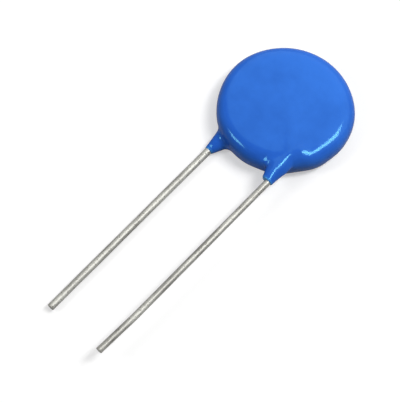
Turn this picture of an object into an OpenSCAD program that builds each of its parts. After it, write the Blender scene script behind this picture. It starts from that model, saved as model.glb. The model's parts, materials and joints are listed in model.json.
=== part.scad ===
// Radial-leaded varistor, 14 mm class, with a dipped coating.
// The part lies on the flat back of its coating. The origin is the middle of that
// flat, +Z points through the disc to its front, and the leads run along -Y.

/* [Ceramic disc] */
// Diameter of the sintered zinc oxide disc
disc_d = 12.4; // [10:0.1:18]
// Thickness of the disc, which sets the clamping voltage
disc_t = 1.2; // [0.8:0.05:4]

/* [Electrodes] */
// Bare ceramic between the silver and the edge of the disc
silver_margin = 0.6; // [0.3:0.05:1.2]
// Thickness of the silver
electrode_t = 0.03; // [0.02:0.01:0.08]

/* [Leads] */
// Diameter of the tinned copper wire
wire_d = 0.75; // [0.5:0.05:1.1]
// Distance between the two leads, centre to centre
lead_pitch = 7.5; // [6.5:0.1:9.5]
// How far the pair of leads stands off to the right of the disc's centre
pair_offset = 0.65; // [0:0.05:1]
// How far inside the rim, measured at the front lead, the leads turn across the disc
corner_in = 1.8; // [1.4:0.1:2.4]
// Radius of that turn, on the wire's centre line
slant_r = 1.2; // [0.8:0.1:2]
// How far past the disc's centre the two leads cross
cross_y = 0; // [-0.5:0.05:1]
// How far each wire runs on past the other
cross_past = 2.4; // [1.5:0.1:3]
// How far each lead springs back towards the middle plane once it has left the disc
grip = 0.1; // [0.05:0.01:0.2]
// Slope of the wire where it springs back
grip_slope = 3; // [2:0.5:6]
// Radius of the two turns that make that slope, on the wire's centre line
grip_r = 2; // [1:0.5:4]
// Distance from the disc's centre to the tip of the front lead
front_reach = 32.2; // [24:0.1:50]
// Distance from the disc's centre to the tip of the back lead
back_reach = 31.7; // [24:0.1:50]
// Length of the front lead's tip that is bent a little towards the back lead
kink_l = 5; // [3:0.5:8]
// Angle of that slight bend
kink = 2; // [0.5:0.5:6]
// Radius of that slight bend, on the wire's centre line
kink_r = 40; // [10:5:80]

/* [Solder] */
// Height of the solder beside each wire
solder_h = 0.5; // [0.3:0.05:0.6]
// Width of the solder where it meets the silver
solder_w = 1.7; // [1.4:0.1:2.2]
// Film of solder between the wire and the silver
film_t = 0.05; // [0.02:0.01:0.1]
// Slanted wire left bare of solder, once it has turned and has reached the silver
solder_start = 0.3; // [0.2:0.05:2]
// How far the solder runs past the wire's end before it rounds off
solder_past = 0.15; // [0.1:0.05:0.5]

/* [Coating] */
// Epoxy between the disc's edge and the round rim
rim_cover = 0.95; // [0.6:0.05:1.5]
// Epoxy from the top of a wire to the flat face
face_cover = 0.17; // [0.1:0.01:0.4]
// How far the front lead shows through as a ridge on the front face
ridge_h = 0.05; // [0.02:0.01:0.1]
// Length of each neck that the coating forms on a lead, past the rim
neck_l = 1.9; // [1:0.1:4]
// Epoxy on the wire where a neck ends
neck_skin = 0.08; // [0.05:0.01:0.2]
// How much thicker than the ridge a neck grows on its way into the rim
neck_flare = 0.45; // [0.2:0.05:0.6]
// Length over which a neck flares into the rim
neck_run = 3.1; // [2:0.1:4]

/* [Hidden] */
$fn = 64;

electrode_d = disc_d - 2 * silver_margin;
wire_r = wire_d / 2;
coat_t = disc_t + 2 * (electrode_t + film_t + wire_d + face_cover);
coat_r = disc_d / 2 + rim_cover;
half_t = coat_t / 2;                 // height of the disc's middle plane
silver_top = disc_t / 2 + electrode_t;
lead_h = silver_top + film_t + wire_r;  // a wire's centre line on the silver
exit_h = lead_h - grip;              // the same outside the coating
ridge_r = wire_r + face_cover + ridge_h;
neck_tip_r = wire_r + neck_skin;
neck_root_r = ridge_r + neck_flare;
skin_gap = 0.03;                     // keeps a neck's flare just under the flat faces
front_x = lead_pitch / 2 + pair_offset;
back_x = lead_pitch / 2 - pair_offset;
corner_y = corner_in - sqrt(coat_r * coat_r - front_x * front_x);
slant = atan((lead_pitch / 2) / (cross_y - corner_y));  // angle of the leads' turns
slant_l = lead_pitch / 2 / sin(slant) + cross_past;     // from a corner to the wire's end
turn_l = slant_r * tan(slant / 2);   // from a turn's ends to its corner
kink_turn_l = kink_r * tan(kink / 2);
slope_l = (grip - 2 * grip_r * (1 - cos(grip_slope))) / sin(grip_slope);
grip_run = 2 * grip_r * sin(grip_slope) + slope_l * cos(grip_slope);
solder_r = (pow(solder_w / 2, 2) + pow(solder_h, 2)) / (2 * solder_h);
swell = 0.002;                       // how much thicker a turn is than its bar
lap = 0.02;                          // how far a straight length ends inside its turn
round_over = 0.01;                   // how much thicker a ridge's round end is
exit_in = 0.05;                      // how far inside its neck a slope ends
flare_in = 0.2;                      // how far inside its neck a flare begins
far = 100;                           // larger than the part

// Where the neck of a lead at x ends, and where its bare straight length begins, just
// inside that
function neck_y(x) = -sqrt(coat_r * coat_r - x * x) - neck_l;
function exit_y(x) = neck_y(x) + exit_in;

// How far a slanted stretch runs from its corner at x to where it is abreast of the
// disc's centre, and to the silver's edge, which may lie before the corner
function abreast_l(x) = x * sin(slant) - corner_y * cos(slant);
function silver_l(x) = abreast_l(x)
    - sqrt(pow(electrode_d / 2, 2) + pow(abreast_l(x), 2) - x * x - corner_y * corner_y);

// Everything on a side is drawn on the front, over the middle plane. The back
// side is the same turned half a turn about Y.
module front_side() translate([0, 0, half_t]) children();
module back_side() translate([0, 0, half_t]) rotate([0, 180, 0]) children();

// A round bar of radius r along -Y, and a ball with its poles along Y
module bar(r, l) rotate([90, 0, 0]) cylinder(r = r, h = l);
module ball(r) rotate([90, 0, 0]) sphere(r);

// A turn to the left of a bar that comes up along +Y, and a straight length l after
// it. The turn is a hair thicker, and straight lengths end just inside it.
module turn(r, bend_r, angle) translate([-bend_r, 0, 0])
    rotate_extrude(angle = angle) translate([bend_r, 0]) circle(r + swell);

module turn_and_bar(r, bend_r, angle, l) {
    turn(r, bend_r, angle);
    translate([-bend_r, 0, 0]) rotate(angle) translate([bend_r, l, 0]) bar(r, l + lap);
}

// A level bar on the disc: straight from y to its turn, then slanted to its end
module crossing_bar(r, x, y) {
    y_turn = corner_y - turn_l;
    translate([x, y_turn, lead_h]) {
        translate([0, lap, 0]) bar(r, y_turn + lap - y);
        turn_and_bar(r, slant_r, slant, slant_l - turn_l);
    }
}

// The wire on the disc and down its slope to just inside the end of its neck
module buried_wire(x) {
    y_slope = exit_y(x) + grip_run;
    crossing_bar(wire_r, x, y_slope - lap);
    translate([x, y_slope, lead_h]) rotate([0, -90, 0]) mirror([0, 1, 0])
        turn_and_bar(wire_r, grip_r, grip_slope, slope_l + lap);
    translate([x, exit_y(x), exit_h]) rotate([0, 90, 0]) turn(wire_r, grip_r, grip_slope);
}

// A straight length of bare wire, from y to the foot of its slope
module bare_wire(x, y)
    translate([x, exit_y(x) + lap, exit_h]) bar(wire_r, exit_y(x) + lap - y);

module straight_lead(x, reach) {
    buried_wire(x);
    bare_wire(x, -reach);
}

// A lead whose last stretch leans a little towards the other lead
module kinked_lead(x, reach) {
    y_kink = kink_l + kink_turn_l - reach;
    buried_wire(x);
    bare_wire(x, y_kink - lap);
    translate([x, y_kink, exit_h]) mirror([0, 1, 0])
        turn_and_bar(wire_r, kink_r, kink, kink_l - kink_turn_l);
}

// A low mound of solder with round ends, flat on the silver
module solder_mound(x) {
    base = solder_h - solder_r;
    start = max(turn_l, silver_l(x)) + solder_start + solder_w / 2;
    l = slant_l + solder_past - start;
    translate([x, corner_y, silver_top]) rotate(slant) translate([0, start, 0])
        intersection() {
            translate([0, 0, base]) {
                translate([0, l, 0]) bar(solder_r, l);
                ball(solder_r);
                translate([0, l, 0]) ball(solder_r);
            }
            translate([-far / 2, -far / 2, 0]) cube(far);
        }
}

// A cone along +Y, from radius r1 to radius r2, whose axis climbs by rise over run
module climbing_cone(r1, r2, run, rise) rotate([atan(rise / run) - 90, 0, 0])
    cylinder(r1 = r1, r2 = r2, h = norm([run, rise]));

// The coating around one lead outside the rim: a nose that narrows along the wire's
// slope to a thin skin, and a flare that widens under it into the rim
module neck(x) translate([x, neck_y(x), exit_h]) {
    climbing_cone(neck_tip_r, ridge_r, exit_in + grip_run, grip);
    translate([0, flare_in, 0])
        climbing_cone(neck_tip_r, neck_root_r, neck_run,
                      half_t - skin_gap - neck_root_r - exit_h);
}

// The coating over the buried wire, with round ends
module ridge(x) {
    y_slope = exit_y(x) + grip_run;
    crossing_bar(ridge_r, x, y_slope);
    translate([x, y_slope, lead_h]) ball(ridge_r + round_over);
    translate([x, corner_y, lead_h]) rotate(slant) translate([0, slant_l, 0])
        ball(ridge_r + round_over);
}

// A copy that is cut off just under the flat face, so that the part can lie on it
module flush() difference() {
    children();
    translate([-far / 2, -far / 2, half_t - skin_gap]) cube(far);
}

module coated_disc() rotate_extrude() {
    square([coat_r - half_t, coat_t]);
    intersection() {
        translate([coat_r - half_t, half_t]) circle(half_t);
        square([coat_r, coat_t]);
    }
}

module zinc_oxide_disc() color("#4a4c50")
    translate([0, 0, half_t - disc_t / 2]) cylinder(d = disc_d, h = disc_t);

module electrode() translate([0, 0, disc_t / 2]) cylinder(d = electrode_d, h = electrode_t);

module front_electrode() color("#d3d2cc") front_side() electrode();
module back_electrode() color("#d3d2cc") back_side() electrode();

module front_lead() color("#c9c8c0") front_side() kinked_lead(front_x, front_reach);
module back_lead() color("#c9c8c0") back_side() straight_lead(back_x, back_reach);

module front_solder() color("#a9aaa8") difference() {
    front_side() solder_mound(front_x);
    front_lead();
}

module back_solder() color("#a9aaa8") difference() {
    back_side() solder_mound(back_x);
    back_lead();
}

// The dipped coating, moulded to everything that it covers
module coating() color("#3276d4") difference() {
    union() {
        coated_disc();
        front_side() ridge(front_x);
        front_side() neck(front_x);
        back_side() flush() ridge(back_x);
        back_side() flush() neck(back_x);
    }
    zinc_oxide_disc();
    front_electrode();
    back_electrode();
    front_solder();
    back_solder();
    front_lead();
    back_lead();
}

coating();
zinc_oxide_disc();
front_electrode();
back_electrode();
front_solder();
back_solder();
front_lead();
back_lead();
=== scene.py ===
import json
import math
import bmesh
import bpy
import numpy as np
from mathutils import Matrix, Vector, noise


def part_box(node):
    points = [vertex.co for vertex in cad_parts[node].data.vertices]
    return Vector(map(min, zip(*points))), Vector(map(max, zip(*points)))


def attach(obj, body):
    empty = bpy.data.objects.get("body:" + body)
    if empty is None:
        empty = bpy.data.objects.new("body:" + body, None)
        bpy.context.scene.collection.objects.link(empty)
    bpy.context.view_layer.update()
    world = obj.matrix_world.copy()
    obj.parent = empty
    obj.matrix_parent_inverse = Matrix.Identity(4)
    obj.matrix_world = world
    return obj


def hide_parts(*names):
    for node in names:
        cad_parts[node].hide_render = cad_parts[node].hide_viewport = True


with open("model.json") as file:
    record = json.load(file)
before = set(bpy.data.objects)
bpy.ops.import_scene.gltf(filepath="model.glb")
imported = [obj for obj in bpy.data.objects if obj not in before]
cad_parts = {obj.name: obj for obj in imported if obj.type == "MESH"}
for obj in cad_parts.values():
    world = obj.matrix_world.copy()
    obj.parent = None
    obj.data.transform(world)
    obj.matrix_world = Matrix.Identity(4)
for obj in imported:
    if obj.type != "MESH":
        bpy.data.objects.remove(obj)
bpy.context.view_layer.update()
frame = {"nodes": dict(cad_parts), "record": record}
print("frame loaded:", ", ".join(sorted(frame["nodes"])))

# Everything is modelled in millimetres and turned to metres at the end
mm = 0.001
mounts = {m["name"]: [value / mm for value in m["pos_m"]] for m in frame["record"]["mounts"]}
discLow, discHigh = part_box("zinc_oxide_disc")
midZ = (discLow.z + discHigh.z) / 2 / mm   # height of the disc's middle plane
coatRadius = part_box("coating")[1].y / mm


def meshFromBmesh(bm, name):
    mesh = bpy.data.meshes.new(name)
    bm.to_mesh(mesh)
    bm.free()
    return mesh


def objectFromMesh(mesh, name):
    obj = bpy.data.objects.new(name, mesh)
    bpy.context.scene.collection.objects.link(obj)
    return obj


def applyModifiers(obj):
    bpy.context.view_layer.update()
    graph = bpy.context.evaluated_depsgraph_get()
    mesh = bpy.data.meshes.new_from_object(obj.evaluated_get(graph))
    obj.modifiers.clear()
    obj.data = mesh


def finishPiece(obj, material, slot, *nodes):
    obj.data.transform(Matrix.Scale(mm, 4))
    for polygon in obj.data.polygons:
        polygon.use_smooth = True
    obj.data.materials.clear()
    obj.data.materials.append(material)
    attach(obj, "root")
    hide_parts(*nodes)


def linearColour(hexCode):
    channels = [int(hexCode[i:i + 2], 16) / 255 for i in (1, 3, 5)]
    return [c / 12.92 if c <= 0.04045 else ((c + 0.055) / 1.055) ** 2.4
            for c in channels] + [1.0]


def addNode(material, kind, settings=None, links=None, stops=(), **properties):
    # Inputs go by name, or by number where a name comes twice; stops are a ramp's colours
    node = material.node_tree.nodes.new("ShaderNode" + kind)
    for name, value in properties.items():
        setattr(node, name, value)
    for name, value in (settings or {}).items():
        node.inputs[name].default_value = value
    for name, socket in (links or {}).items():
        material.node_tree.links.new(socket, node.inputs[name])
    for number, (position, colour) in enumerate(stops):
        element = node.color_ramp.elements[number]
        element.position, element.color = position, linearColour(colour)
    return node


def newMaterial(name):
    material = bpy.data.materials.new(name)
    material.use_nodes = True
    material.node_tree.nodes.clear()
    return material


def millimetres(material, stretch=(1, 1, 1)):
    # Object coordinates in millimetres, so that a noise scale is in features a millimetre
    coordinates = addNode(material, "TexCoord")
    mapping = addNode(material, "Mapping", {"Scale": [s / mm for s in stretch]},
                      {"Vector": coordinates.outputs["Object"]})
    return mapping.outputs["Vector"]


epoxy = {
    "body": [(0.20, "#2863CD"), (0.80, "#3374E3")],   # deep blue to full blue
    "thinBlue": "#4FA3E8",   # where it feathers out on a wire
    "sheen": "#96F6FF",      # the pigment reaches the skin and tints its gloss
    "ior": 1.5,
    "shine": 0.44,
    # roughness, from the low of the grain to its high
    "gloss": {"From Min": 0.3, "From Max": 0.7, "To Min": 0.12, "To Max": 0.18},
    "paintedLightGain": 0.045,         # painted light: the colour gains this much a millimetre away from the wires, lighter towards the far edge
    "mottle": 0.30,          # features a millimetre, as are the next two
    "orangePeel": 0.9,
    "grain": 7.0,
    "orangePeelHeight": 0.012,
    "grainHeight": 0.0012,
}


def blueEpoxy():
    # Epoxy powder, dipped and cured to a gloss: opaque blue and a little wavy like orange
    # peel, with a very faint mottle. Painted light makes the colour a little lighter towards
    # the far edge, away from the wires, and it is paler where it thins out on the wires
    m = newMaterial("dippedBlueEpoxy")
    place = millimetres(m)
    mottle = addNode(m, "TexNoise", {"Scale": epoxy["mottle"], "Detail": 5.0,
                                     "Roughness": 0.6}, {"Vector": place})
    peel = addNode(m, "TexNoise", {"Scale": epoxy["orangePeel"], "Detail": 2.0},
                   {"Vector": place})
    grain = addNode(m, "TexNoise", {"Scale": epoxy["grain"], "Detail": 3.0},
                    {"Vector": place})
    apart = addNode(m, "SeparateXYZ", links={"Vector": place})
    # painted light: the blue grows lighter along Y, away from the wires, added to the mottle
    mottleAndPaintedLight = addNode(m, "Math", {1: epoxy["paintedLightGain"]},
                      {0: apart.outputs["Y"], 2: mottle.outputs["Fac"]},
                      operation="MULTIPLY_ADD")
    body = addNode(m, "ValToRGB", links={"Fac": mottleAndPaintedLight.outputs[0]}, stops=epoxy["body"])
    thin = addNode(m, "Attribute", attribute_name="thinSkin")
    colour = addNode(m, "Mix", {7: linearColour(epoxy["thinBlue"])},
                     {0: thin.outputs["Fac"], 6: body.outputs["Color"]}, data_type="RGBA")
    gloss = addNode(m, "MapRange", epoxy["gloss"], {"Value": grain.outputs["Fac"]})
    waves = addNode(m, "Bump", {"Strength": 1.0, "Distance": epoxy["orangePeelHeight"] * mm},
                    {"Height": peel.outputs["Fac"]})
    bump = addNode(m, "Bump", {"Strength": 1.0, "Distance": epoxy["grainHeight"] * mm},
                   {"Height": grain.outputs["Fac"], "Normal": waves.outputs["Normal"]})
    shader = addNode(m, "BsdfPrincipled",
                     {"IOR": epoxy["ior"], "Specular IOR Level": epoxy["shine"],
                      "Specular Tint": linearColour(epoxy["sheen"])},
                     {"Base Color": colour.outputs[2], "Roughness": gloss.outputs["Result"],
                      "Normal": bump.outputs["Normal"]})
    addNode(m, "OutputMaterial", links={"Surface": shader.outputs[0]})
    return m


tin = {
    "body": [(0.36, "#ADACA6"), (0.60, "#DADAD3")],
    "speck": "#7A776E",
    "speckEdge": [(0.33, "#FFFFFF"), (0.43, "#000000")],
    "metallic": 0.80,        # the dull skin on old tin is not all metal
    # roughness, which the blotches change
    "satin": {"From Min": 0.35, "From Max": 0.65, "To Min": 0.50, "To Max": 0.62},
    "blotch": 1.3,           # features a millimetre, as are the next two
    "drawMarks": 9.0,
    "specks": 6.0,
    "drawn": 0.22,           # how much fewer there are of them along the wire
    "markHeight": 0.006,
}


def tinnedCopper():
    # Copper wire with a thin hot-dipped coat of tin: satin grey-white, streaked along
    # its length, with small dull specks. The specks are drawn as coarse as they show
    m = newMaterial("tinnedCopperWire")
    along = millimetres(m, (1, tin["drawn"], 1))
    place = millimetres(m)
    blotch = addNode(m, "TexNoise", {"Scale": tin["blotch"], "Detail": 4.0}, {"Vector": along})
    specks = addNode(m, "TexNoise", {"Scale": tin["specks"], "Detail": 3.0,
                                     "Roughness": 0.65}, {"Vector": place})
    marks = addNode(m, "TexNoise", {"Scale": tin["drawMarks"], "Detail": 3.0},
                    {"Vector": along})
    body = addNode(m, "ValToRGB", links={"Fac": blotch.outputs["Fac"]}, stops=tin["body"])
    dull = addNode(m, "ValToRGB", links={"Fac": specks.outputs["Fac"]}, stops=tin["speckEdge"])
    colour = addNode(m, "Mix", {7: linearColour(tin["speck"])},
                     {0: dull.outputs["Color"], 6: body.outputs["Color"]}, data_type="RGBA")
    satin = addNode(m, "MapRange", tin["satin"], {"Value": blotch.outputs["Fac"]})
    lines = addNode(m, "Bump", {"Strength": 0.8, "Distance": tin["markHeight"] * mm},
                    {"Height": marks.outputs["Fac"]})
    bump = addNode(m, "Bump", {"Strength": 0.6, "Distance": tin["markHeight"] * mm},
                   {"Height": specks.outputs["Fac"], "Normal": lines.outputs["Normal"]})
    shader = addNode(m, "BsdfPrincipled", {"Metallic": tin["metallic"]},
                     {"Base Color": colour.outputs[2], "Roughness": satin.outputs["Result"],
                      "Normal": bump.outputs["Normal"]})
    addNode(m, "OutputMaterial", links={"Surface": shader.outputs[0]})
    return m


ceramic = {
    "body": [(0.35, "#2B2D2B"), (0.68, "#454843")],
    "pore": "#171817",
    "poreEdge": [(0.07, "#FFFFFF"), (0.12, "#000000")],
    "ior": 1.9,
    "roughness": 0.82,
    "grain": 12.0,           # features a millimetre, as are the pores
    "pores": 5.0,
    "grainHeight": 0.01,
}


def zincOxideCeramic():
    # Pressed and sintered zinc oxide: a dull greenish-black ceramic with a fine granular
    # surface and a few open pores
    m = newMaterial("sinteredZincOxide")
    place = millimetres(m)
    grain = addNode(m, "TexNoise", {"Scale": ceramic["grain"], "Detail": 4.0,
                                    "Roughness": 0.7}, {"Vector": place})
    pores = addNode(m, "TexVoronoi", {"Scale": ceramic["pores"]}, {"Vector": place})
    body = addNode(m, "ValToRGB", links={"Fac": grain.outputs["Fac"]}, stops=ceramic["body"])
    hollow = addNode(m, "ValToRGB", links={"Fac": pores.outputs["Distance"]},
                     stops=ceramic["poreEdge"])
    colour = addNode(m, "Mix", {7: linearColour(ceramic["pore"])},
                     {0: hollow.outputs["Color"], 6: body.outputs["Color"]}, data_type="RGBA")
    bump = addNode(m, "Bump", {"Strength": 1.0, "Distance": ceramic["grainHeight"] * mm},
                   {"Height": grain.outputs["Fac"]})
    shader = addNode(m, "BsdfPrincipled",
                     {"IOR": ceramic["ior"], "Roughness": ceramic["roughness"]},
                     {"Base Color": colour.outputs[2], "Normal": bump.outputs["Normal"]})
    addNode(m, "OutputMaterial", links={"Surface": shader.outputs[0]})
    return m


silver = {
    "body": [(0.38, "#B4B0A6"), (0.62, "#D8D6D0")],   # tarnished to clean
    "roughness": 0.55,
    "tarnish": 0.7,          # features a millimetre
    "weave": 5 / 3,          # a wave's scale: this is one thread in 0.19 mm
    "wander": 0.4,
    "weaveHeight": 0.004,
}


def firedSilver():
    # Silver paste, screen printed and fired: matt, slightly yellowish white, with the
    # faint weave that the printing mesh leaves
    m = newMaterial("firedSilverPaste")
    place = millimetres(m)
    tarnish = addNode(m, "TexNoise", {"Scale": silver["tarnish"], "Detail": 4.0},
                      {"Vector": place})
    body = addNode(m, "ValToRGB", links={"Fac": tarnish.outputs["Fac"]}, stops=silver["body"])
    bump = None
    for direction in ("X", "Y"):
        threads = addNode(m, "TexWave",
                          {"Scale": silver["weave"], "Distortion": silver["wander"]},
                          {"Vector": place}, bands_direction=direction)
        links = {"Height": threads.outputs["Fac"]}
        if bump:
            links["Normal"] = bump.outputs["Normal"]
        bump = addNode(m, "Bump", {"Strength": 0.8, "Distance": silver["weaveHeight"] * mm},
                       links)
    shader = addNode(m, "BsdfPrincipled", {"Metallic": 1.0, "Roughness": silver["roughness"]},
                     {"Base Color": body.outputs["Color"], "Normal": bump.outputs["Normal"]})
    addNode(m, "OutputMaterial", links={"Surface": shader.outputs[0]})
    return m


solder = {
    "body": [(0.38, "#93928D"), (0.60, "#C9C8C4")],   # frosty to bright
    "roughness": {"From Min": 0.35, "From Max": 0.65, "To Min": 0.5, "To Max": 0.22},
    "frost": 2.4,            # features a millimetre, as are the ripples
    "ripple": 1.1,
    "rippleHeight": 0.02,
}


def softSolder():
    # Tin solder, melted and set: bright where it flowed, frosty grey where it set slowly,
    # with shallow ripples
    m = newMaterial("setTinSolder")
    place = millimetres(m)
    frost = addNode(m, "TexNoise", {"Scale": solder["frost"], "Detail": 5.0}, {"Vector": place})
    ripple = addNode(m, "TexNoise", {"Scale": solder["ripple"], "Detail": 1.0},
                     {"Vector": place})
    body = addNode(m, "ValToRGB", links={"Fac": frost.outputs["Fac"]}, stops=solder["body"])
    dull = addNode(m, "MapRange", solder["roughness"], {"Value": frost.outputs["Fac"]})
    bump = addNode(m, "Bump", {"Strength": 1.0, "Distance": solder["rippleHeight"] * mm},
                   {"Height": ripple.outputs["Fac"]})
    shader = addNode(m, "BsdfPrincipled", {"Metallic": 1.0},
                     {"Base Color": body.outputs["Color"], "Roughness": dull.outputs["Result"],
                      "Normal": bump.outputs["Normal"]})
    addNode(m, "OutputMaterial", links={"Surface": shader.outputs[0]})
    return m


coat = {
    "halfThick": 1.6,
    "flatRadius": 5.2,       # where the face begins to fall away to the rim
    "shoulder": {"turn": -125, "later": 0.45},   # the side where it does so further out
    "squareness": 2.4,       # 2 is a round rim, more is squarer
    "crown": 0.05,           # how far the face falls from its middle to the rim
    "oval": 0.05,            # how much wider than round it is across, and narrower along
    # the dip runs fuller or thinner here and there round the rim: (turn, half width, height)
    "runs": [(-152, 24, -0.09), (-72, 9, -0.10), (-38, 14, -0.26), (-8, 8, -0.07),
             (32, 22, 0.10), (168, 20, 0.03)],
    # small flats in the skin: where, how steeply each falls along x and y, and its radius
    "flats": [
        {"place": (2.60, -5.945, 2.865), "slope": (-0.100, -0.541), "radius": 0.44},
        {"place": (5.10, -2.78, 3.165), "slope": (0.205, 0.010), "radius": 0.74},
        {"place": (-3.02, -8.05, 1.20), "slope": (-0.110, -0.541), "radius": 0.24},
    ],
    # the front wire shows under the face as a swell that tapers off
    "wireSwell": {"start": (4.15, -3.75), "end": (-1.1, 1.6), "width": 0.6, "height": 0.09,
                  "taper": 0.5},
    "flowWaves": {"length": 2.6, "height": 0.008},
    # a low lump where the dip gathered beside the front wire
    "lump": {"place": (4.72, -2.90, 3.20), "radius": 0.55, "height": 0.115},
    "reliefRise": (0.3, 0.9),   # heights between which the swell, waves and lump come in
    "thinSkin": {"length": 0.26, "paleness": 0.75},   # the feathered end of each neck
    "voxel": 0.10,           # width of a face
    "rounds": 3,             # of settling on the form and smoothing
}
# Each sleeve on a wire. "tip" is its size at its end and "root" at the disc's rim, as
# (left, right, tall) half sizes, with (aside, up) shifts off the wire's middle. "curve" is
# how late its left side widens, and "roof" how round its top is: 2 is an ellipse, less is
# more of a ridge. Past "sink" it gets smaller inside the disc. "blend" is how softly it
# meets the disc, outside and further in
necks = {
    "front_lead": {
        "end": -7.60, "run": 2.0, "curve": 1.6, "roof": 1.55,
        "tip": (0.66, 0.62, 0.54), "tipShift": (-0.13, 0.0),
        "root": (1.46, 1.05, 0.85), "rootShift": (-0.38, -0.21),
        "sink": (-4.4, -2.2), "blend": (0.31, 0.08),
    },
    "back_lead": {
        "end": -8.40, "run": 1.9, "curve": 1.2, "roof": 2.0,
        "tip": (0.45, 0.45, 0.46), "tipShift": (0.0, 0.0),
        "root": (0.68, 1.5, 0.80), "rootShift": (0.0, 0.15),
        "sink": (-4.8, -3.6), "blend": (0.6, 0.3),
    },
}
neckFit = {
    "sunk": 0.4,             # share of a neck's size that is left at its inner end
    "endRound": 0.12,        # how softly its outer end turns in to the wire
    "blendChange": 0.8,      # length over which the blend goes from outside to further in
}


def smoothUnion(a, b, reach):
    # The nearer of two fields, rounded where they meet
    h = np.clip(0.5 + 0.5 * (b - a) / reach, 0, 1)
    return b * (1 - h) + a * h - reach * h * (1 - h)


def discField(p):
    # The dipped disc: a flat back, a slightly crowned face and a full rim
    n = coat["squareness"]
    turn = np.arctan2(p[:, 1], p[:, 0])
    radius = coatRadius + coat["oval"] * np.cos(2 * turn)
    for angle, width, height in coat["runs"]:
        away = (np.degrees(turn) - angle + 180) % 360 - 180
        radius = radius + height * np.exp(-(away / width) ** 2)
    out = np.hypot(p[:, 0], p[:, 1])
    shoulder = coat["shoulder"]
    facing = np.maximum(np.cos(turn - math.radians(shoulder["turn"])), 0)
    flat = coat["flatRadius"] + shoulder["later"] * facing ** 2
    rim = radius - flat
    across = np.maximum(out - flat, 0) / rim
    above = p[:, 2] > midZ
    tall = coat["halfThick"] - np.where(above, coat["crown"] * (out / radius) ** 2, 0)
    up = np.abs(p[:, 2] - midZ) / tall
    size = np.maximum((across ** n + up ** n) ** (1 / n), 1e-6)
    slope = np.hypot((across / size) ** (n - 1) / rim, (up / size) ** (n - 1) / tall)
    leastSlope = 0.2   # keeps the field tame in the middle of the disc
    return (size - 1) / np.maximum(slope, leastSlope)


def neckField(p, name):
    # The sleeve on one wire, which widens towards the disc and sinks into it
    neck = necks[name]
    wireX, _, wireZ = mounts[name]
    s = np.clip((p[:, 1] - neck["end"]) / neck["run"], 0, 1)
    widen, rise = s ** neck["curve"], np.sin(s * math.pi / 2)
    left, right, tall = (tip + (root - tip) * grow for tip, root, grow
                         in zip(neck["tip"], neck["root"], (widen, s, rise)))
    n = 2 + (neck["roof"] - 2) * rise
    aside, up = (tip + (root - tip) * rise
                 for tip, root in zip(neck["tipShift"], neck["rootShift"]))
    sinkStart, sinkEnd = neck["sink"]
    sink = np.clip((p[:, 1] - sinkStart) / (sinkEnd - sinkStart), 0, 1) ** 2
    shrink = 1 - (1 - neckFit["sunk"]) * sink
    dx = p[:, 0] - wireX - aside
    dz = p[:, 2] - wireZ - up
    wide = np.where(dx > 0, right, left) * shrink
    tall = tall * shrink
    size = (np.abs(dx / wide) ** n + np.abs(dz / tall) ** n) ** (1 / n)
    around = (size - 1) * np.minimum(wide, tall)
    ends = np.maximum(neck["end"] - p[:, 1], p[:, 1] - sinkEnd)
    return -smoothUnion(-around, -ends, neckFit["endRound"])


def coatField(p):
    # Distance to the whole dipped form, near enough, and less than nothing inside it
    field = discField(p)
    for name, neck in necks.items():
        inside = np.clip((p[:, 1] - neck["end"] - neck["run"]) / neckFit["blendChange"], 0, 1)
        outer, inner = neck["blend"]
        field = smoothUnion(field, neckField(p, name), outer + (inner - outer) * inside)
    for flat in coat["flats"]:
        away = p - np.array(flat["place"])
        facing = np.array([*flat["slope"], 1.0])
        level = away @ facing / np.linalg.norm(facing)
        near = np.exp(-(np.linalg.norm(away, axis=1) / flat["radius"]) ** 2)
        field = field + (level - field) * near
    return np.maximum(field, midZ - coat["halfThick"] - p[:, 2])   # the back stays flat


def slopeOf(p):
    step = 1e-3
    return np.stack([(coatField(p + step * axis) - coatField(p - step * axis)) / (2 * step)
                     for axis in np.eye(3)], axis=1)


def settle(p, passes):
    # Moves each point to the nearest place on the form
    leastSteepness = 0.05
    for _ in range(passes):
        slope = slopeOf(p)
        steepness = np.maximum((slope ** 2).sum(1), leastSteepness)
        p = p - slope * (coatField(p) / steepness)[:, None]
    return p


def coatRelief(p):
    # What shows on the skin: the wire under the face, shallow waves and a lump
    swell = coat["wireSwell"]
    start, end = np.array(swell["start"]), np.array(swell["end"])
    along = end - start
    length = np.linalg.norm(along)
    away = p[:, :2] - start
    t = np.clip(away @ along / length ** 2, 0, 1)
    side = np.linalg.norm(away - t[:, None] * along, axis=1)
    relief = swell["height"] * np.exp(-(side / swell["width"]) ** 2) * (1 - t) ** swell["taper"]
    waves = coat["flowWaves"]
    relief += [waves["height"] * noise.noise(Vector(v) / waves["length"]) for v in p]
    lump = coat["lump"]
    near = np.linalg.norm(p - np.array(lump["place"]), axis=1) / lump["radius"]
    relief += lump["height"] * np.exp(-near ** 2)
    low, high = coat["reliefRise"]
    return relief * np.clip((p[:, 2] - low) / (high - low), 0, 1)


blank = {
    "rimBevel": 1.2,
    "barPast": 1.5,          # how far a neck's bar runs on into the disc
    "barFlare": 0.3,         # how much wider it is there
}


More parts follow.
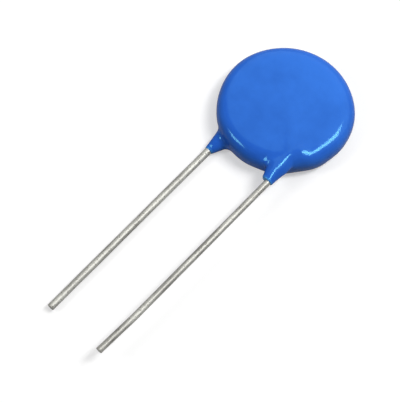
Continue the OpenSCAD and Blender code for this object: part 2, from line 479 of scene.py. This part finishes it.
def coatingBlank():
    # A disc with a bar for each neck, to be joined into one skin of even faces
    bm = bmesh.new()
    half = coat["halfThick"]
    bmesh.ops.create_cone(bm, cap_ends=True, segments=96, radius1=coatRadius,
                          radius2=coatRadius, depth=2 * half,
                          matrix=Matrix.Translation((0, 0, midZ)))
    rims = [e for e in bm.edges if abs(e.verts[0].co.z - e.verts[1].co.z) < 1e-5]
    bmesh.ops.bevel(bm, geom=rims, offset=blank["rimBevel"], affect="EDGES", segments=4,
                    profile=0.5, material=-1)
    for name, neck in necks.items():
        x, _, z = mounts[name]
        length = neck["run"] + blank["barPast"]
        place = Matrix.Translation((x, neck["end"] + length / 2, z))
        bmesh.ops.create_cone(bm, cap_ends=True, segments=32, radius1=neck["tip"][2],
                              radius2=neck["tip"][2] + blank["barFlare"], depth=length,
                              matrix=place @ Matrix.Rotation(-math.pi / 2, 4, "X"))
    return meshFromBmesh(bm, "coatingBlank")


def makeCoating():
    obj = objectFromMesh(coatingBlank(), "dipped_coating")
    remesh = obj.modifiers.new("evenFaces", "REMESH")
    remesh.mode = "VOXEL"
    remesh.voxel_size = coat["voxel"]
    applyModifiers(obj)
    bm = bmesh.new()
    bm.from_mesh(obj.data)
    for _ in range(coat["rounds"]):
        for vert, place in zip(bm.verts, settle(np.array([v.co for v in bm.verts]), passes=3)):
            vert.co = place
        bmesh.ops.smooth_vert(bm, verts=bm.verts, factor=0.5, use_axis_x=True,
                              use_axis_y=True, use_axis_z=True)
    places = settle(np.array([v.co for v in bm.verts]), passes=4)
    outward = slopeOf(places)
    outward /= np.linalg.norm(outward, axis=1)[:, None]
    places += outward * coatRelief(places)[:, None]
    for vert, place in zip(bm.verts, places):
        vert.co = place
    bmesh.ops.recalc_face_normals(bm, faces=bm.faces)
    bm.to_mesh(obj.data)
    bm.free()
    skin = coat["thinSkin"]
    ends = np.where(places[:, 0] > 0, necks["front_lead"]["end"], necks["back_lead"]["end"])
    pale = np.clip(1 - (places[:, 1] - ends) / skin["length"], 0, 1) * skin["paleness"]
    obj.data.attributes.new("thinSkin", "FLOAT", "POINT").data.foreach_set("value", pale)
    print("coating:", len(obj.data.polygons), "faces")
    return obj


wire = {
    "sides": 28,
    "ringGap": 0.25,         # length of wire between two rings
    "grip": 0.1,             # how far the wire steps out to reach over the disc
    "gripSlope": math.radians(3),
    "gripRadius": 2.0,
    "gripIn": 1.0,           # how far inside its neck that step ends
    "slantRadius": 1.2,
    "cornerY": -3.836,       # where the slanted stretch meets the level one
    "crossPast": 2.4,        # length of the slanted stretch past the disc's middle line
    "tipBevel": 0.03,
    "unevenness": 0.008,
    "dents": (1.3, 0.5, 1.3),   # of them in a millimetre, across, along and up
}
leads = {
    "front_lead": {"turnedOver": False, "tipY": -32.2, "radius": 0.362, "neckEnd": -7.536,
                   "kink": math.radians(2), "kinkRadius": 40.0, "kinkLength": 5.0},
    "back_lead": {"turnedOver": True, "tipY": -31.7, "radius": 0.39, "neckEnd": -8.343,
                  "kink": 0.0, "kinkRadius": 40.0, "kinkLength": 0.0},
}


def pushRing(bm, ring, shift, steps):
    # Pulls the open end of a wire straight on
    for _ in range(steps):
        made = bmesh.ops.extrude_edge_only(bm, edges=ring)["geom"]
        verts = {g for g in made if isinstance(g, bmesh.types.BMVert)}
        bmesh.ops.translate(bm, verts=list(verts), vec=shift / steps)
        ring = [g for g in made if isinstance(g, bmesh.types.BMEdge)
                and g.verts[0] in verts and g.verts[1] in verts]
    return ring


def sweepWire(bm, place, heading, radius, route):
    # A ring pushed along the route: ("straight", length) or ("turn", radius, angle, axis)
    facing = heading.to_track_quat("Z", "X").to_matrix().to_4x4()
    circle = bmesh.ops.create_circle(bm, cap_ends=False, segments=wire["sides"], radius=radius,
                                     matrix=Matrix.Translation(place) @ facing)
    # fromkeys drops repeats but keeps the order, so that each run makes the same mesh
    ring = list(dict.fromkeys(e for v in circle["verts"] for e in v.link_edges))
    for kind, size, *bend in route:
        if kind == "straight":
            ring = pushRing(bm, ring, heading * size, max(1, round(size / wire["ringGap"])))
            place = place + heading * size
            continue
        angle, axis = bend[0], Vector(bend[1])
        centre = place + axis.cross(heading) * math.copysign(size, angle)
        verts = list(dict.fromkeys(v for e in ring for v in e.verts))
        made = bmesh.ops.spin(bm, geom=verts + ring, cent=centre, axis=axis, angle=angle,
                              steps=max(2, round(size * abs(angle) / wire["ringGap"])),
                              use_merge=False, use_duplicate=False)
        ring = [g for g in made["geom_last"] if isinstance(g, bmesh.types.BMEdge)]
        rotate = Matrix.Rotation(angle, 3, axis)
        place = centre + rotate @ (place - centre)
        heading = rotate @ heading


def leadRoute(name):
    # Down the face at a slant, level to the neck, a small step in, and on to the tip
    lead = leads[name]
    x, _, z = mounts[name]
    pitch = mounts["front_lead"][0] - mounts["back_lead"][0]
    slant = math.atan(pitch / 2 / -wire["cornerY"])
    slantLength = pitch / 2 / math.sin(slant) + wire["crossPast"]
    slantTurn = wire["slantRadius"] * math.tan(slant / 2)
    slope, radius = wire["gripSlope"], wire["gripRadius"]
    slopeLength = (wire["grip"] - 2 * radius * (1 - math.cos(slope))) / math.sin(slope)
    gripRun = 2 * radius * math.sin(slope) + slopeLength * math.cos(slope)
    gripY = lead["neckEnd"] + wire["gripIn"]
    levelY = wire["cornerY"] - slantTurn
    down = Vector((math.sin(slant), -math.cos(slant), 0))
    start = Vector((abs(x), wire["cornerY"], abs(z - midZ) + wire["grip"])) - down * slantLength
    kinkTurn = lead["kinkRadius"] * math.tan(lead["kink"] / 2)
    route = [("straight", slantLength - slantTurn),
             ("turn", wire["slantRadius"], -slant, (0, 0, 1)),
             ("straight", levelY - gripY - gripRun),
             ("turn", radius, slope, (1, 0, 0)),
             ("straight", slopeLength),
             ("turn", radius, -slope, (1, 0, 0)),
             ("straight", gripY - lead["tipY"] - lead["kinkLength"] - kinkTurn)]
    if lead["kink"]:
        route += [("turn", lead["kinkRadius"], -lead["kink"], (0, 0, 1)),
                  ("straight", lead["kinkLength"] - kinkTurn)]
    return start, down, route


def makeLead(name):
    lead = leads[name]
    bm = bmesh.new()
    start, down, route = leadRoute(name)
    sweepWire(bm, start, down, lead["radius"], route)
    ends = [e for e in bm.edges if e.is_boundary]
    bmesh.ops.holes_fill(bm, edges=ends, sides=0)
    bmesh.ops.bevel(bm, geom=ends, offset=wire["tipBevel"], affect="EDGES", segments=2,
                    profile=0.5, material=-1)
    bmesh.ops.remove_doubles(bm, verts=bm.verts, dist=1e-5)
    bmesh.ops.recalc_face_normals(bm, faces=bm.faces)
    bm.normal_update()
    for vert in bm.verts:
        place = vert.co * Vector(wire["dents"])
        vert.co += vert.normal * noise.noise(place) * wire["unevenness"]
    # the back wire is made as the front one is, then turned over to the lower face
    place = Matrix.Translation((0, 0, midZ))
    if lead["turnedOver"]:
        place = place @ Matrix.Rotation(math.pi, 4, "Y")
    bmesh.ops.transform(bm, matrix=place, verts=bm.verts)
    obj = objectFromMesh(meshFromBmesh(bm, name), "tinned_" + name)
    print(name + ":", len(obj.data.polygons), "faces")
    return obj


epoxyMaterial, tinMaterial = blueEpoxy(), tinnedCopper()
finishPiece(makeCoating(), epoxyMaterial, "blue_epoxy", "coating")
for leadName in leads:
    finishPiece(makeLead(leadName), tinMaterial, "tinned_copper", leadName)

# Every piece of the frame gets its finish; the ones inside keep their frame shapes
ceramicMaterial, silverMaterial, solderMaterial = zincOxideCeramic(), firedSilver(), softSolder()
frameFinish = {
    "zinc_oxide_disc": ceramicMaterial,
    "front_electrode": silverMaterial, "back_electrode": silverMaterial,
    "front_solder": solderMaterial, "back_solder": solderMaterial,
    "coating": epoxyMaterial, "front_lead": tinMaterial, "back_lead": tinMaterial,
}
for name, material in frameFinish.items():
    slots = frame["nodes"][name].data.materials
    slots.clear()
    slots.append(material)
print("finishes set")


# The stage and the lamps are in metres
stage = {
    "paper": "#D0D0D0",
    "glow": 0.46,            # lifts the paper to white where no shadow falls
    "bounce": "#848484",     # the paper as the object's own light meets it
    "mirrored": 0.25,        # how much of the white paper shows in reflections
    "fade": (0.04, 0.2),     # distances from the middle, from lit paper to plain white
    "radius": 1.5,
    "wall": 0.6,
    "drop": 0.00002,         # how far the paper lies below the object
    "world": 0.09,
}
# A level is how bright a white sheet renders that lies at the object and faces the lamp
lamps = {
    "backSoftbox": {"azimuth": 185, "elevation": 50, "distance": 0.4, "size": (0.87, 0.4),
                    "roll": 0, "level": 0.60},
    "rightSoftbox": {"azimuth": 130, "elevation": 62, "distance": 0.3, "size": (0.14, 0.075),
                     "roll": -55, "level": 0.60},
    "leftSoftbox": {"azimuth": -37, "elevation": 44, "distance": 0.4, "size": (0.14, 0.09),
                    "roll": 51, "level": 0.24},
}


def aimed(azimuth, elevation):
    # The way from the object to something that looks at it; azimuth 0 is the front, -Y
    a, e = math.radians(azimuth), math.radians(elevation)
    return Vector((math.sin(a) * math.cos(e), -math.cos(a) * math.cos(e), math.sin(e)))


def studioPaper():
    # White paper to the eye, with the object's shadow on it. It is fainter in reflections
    # and its own bounce is dimmer, so that the underside of the rim stays deep blue
    m = newMaterial("studioPaper")
    path = addNode(m, "LightPath")
    seen = path.outputs["Is Camera Ray"]
    for kind in ("Is Glossy Ray", "Is Transmission Ray"):
        mirrored = addNode(m, "Math", {1: stage["mirrored"]}, {0: path.outputs[kind]},
                           operation="MULTIPLY")
        both = addNode(m, "Math", links={0: seen, 1: mirrored.outputs[0]},
                       operation="MAXIMUM")
        seen = both.outputs[0]
    place = addNode(m, "TexCoord")
    away = addNode(m, "VectorMath", links={0: place.outputs["Object"]}, operation="LENGTH")
    near, far = stage["fade"]
    faded = addNode(m, "MapRange", {"From Min": near, "From Max": far},
                    {"Value": away.outputs["Value"]}, interpolation_type="SMOOTHSTEP")
    bounce = addNode(m, "BsdfDiffuse", {"Color": linearColour(stage["bounce"])})
    paper = addNode(m, "BsdfDiffuse", {"Color": linearColour(stage["paper"])})
    glow = addNode(m, "Emission", {"Strength": stage["glow"]})
    lit = addNode(m, "AddShader", links={0: paper.outputs[0], 1: glow.outputs[0]})
    white = addNode(m, "Emission", {"Strength": 1.0})
    bright = addNode(m, "MixShader", links={0: faded.outputs["Result"], 1: lit.outputs[0],
                                            2: white.outputs[0]})
    shader = addNode(m, "MixShader", links={0: seen, 1: bounce.outputs[0],
                                            2: bright.outputs[0]})
    addNode(m, "OutputMaterial", links={"Surface": shader.outputs[0]})
    return m


def makeStage():
    # A round floor with a low wall, open to the sky
    bm = bmesh.new()
    bmesh.ops.create_circle(bm, cap_ends=True, segments=96, radius=stage["radius"],
                            matrix=Matrix.Translation((0, 0, -stage["drop"])))
    edges = [e for e in bm.edges if e.is_boundary]
    made = bmesh.ops.extrude_edge_only(bm, edges=edges)["geom"]
    bmesh.ops.translate(bm, verts=[g for g in made if isinstance(g, bmesh.types.BMVert)],
                        vec=(0, 0, stage["wall"]))
    backdrop = objectFromMesh(meshFromBmesh(bm, "backdrop"), "backdrop")
    backdrop.data.materials.append(studioPaper())


def makeLight():
    for name, settings in lamps.items():
        back = aimed(settings["azimuth"], settings["elevation"])
        lamp = bpy.data.lights.new(name, "AREA")
        lamp.shape = "RECTANGLE"
        lamp.size, lamp.size_y = settings["size"]
        lamp.energy = settings["level"] * (math.pi * settings["distance"]) ** 2
        obj = bpy.data.objects.new(name, lamp)
        turn = back.to_track_quat("Z", "Y").to_matrix().to_4x4()
        roll = Matrix.Rotation(math.radians(settings["roll"]), 4, "Z")
        obj.matrix_world = Matrix.Translation(back * settings["distance"]) @ turn @ roll
        obj.visible_camera = False
        bpy.context.scene.collection.objects.link(obj)
    world = bpy.data.worlds.new("studio")
    world.use_nodes = True
    background = world.node_tree.nodes["Background"]
    background.inputs["Color"].default_value = (1, 1, 1, 1)
    background.inputs["Strength"].default_value = stage["world"]
    bpy.context.scene.world = world
    bpy.context.scene.view_settings.view_transform = "Standard"


camera = {
    "azimuth": 45.1386,
    "elevation": 65.6455,
    "roll": -2.8278,
    "distance": 200.0,       # millimetres, as is the target
    "target": (0.4543, -13.4768, 1.6),
    "lens": 176.06,
    "sensor": 36,
}


def makeCamera():
    back = aimed(camera["azimuth"], camera["elevation"])
    right = Vector((-back.y, back.x, 0)).normalized()
    turn = Matrix((right, back.cross(right), back)).transposed()
    turn = Matrix.Rotation(math.radians(camera["roll"]), 3, back) @ turn
    data = bpy.data.cameras.new("camera")
    data.lens = camera["lens"]
    data.sensor_width = camera["sensor"]
    data.clip_start, data.clip_end = 0.01, 10
    obj = bpy.data.objects.new("camera", data)
    place = (Vector(camera["target"]) + back * camera["distance"]) * mm
    obj.matrix_world = Matrix.Translation(place) @ turn.to_4x4()
    bpy.context.scene.collection.objects.link(obj)
    bpy.context.scene.camera = obj


makeStage()
makeLight()
makeCamera()
print("stage set")
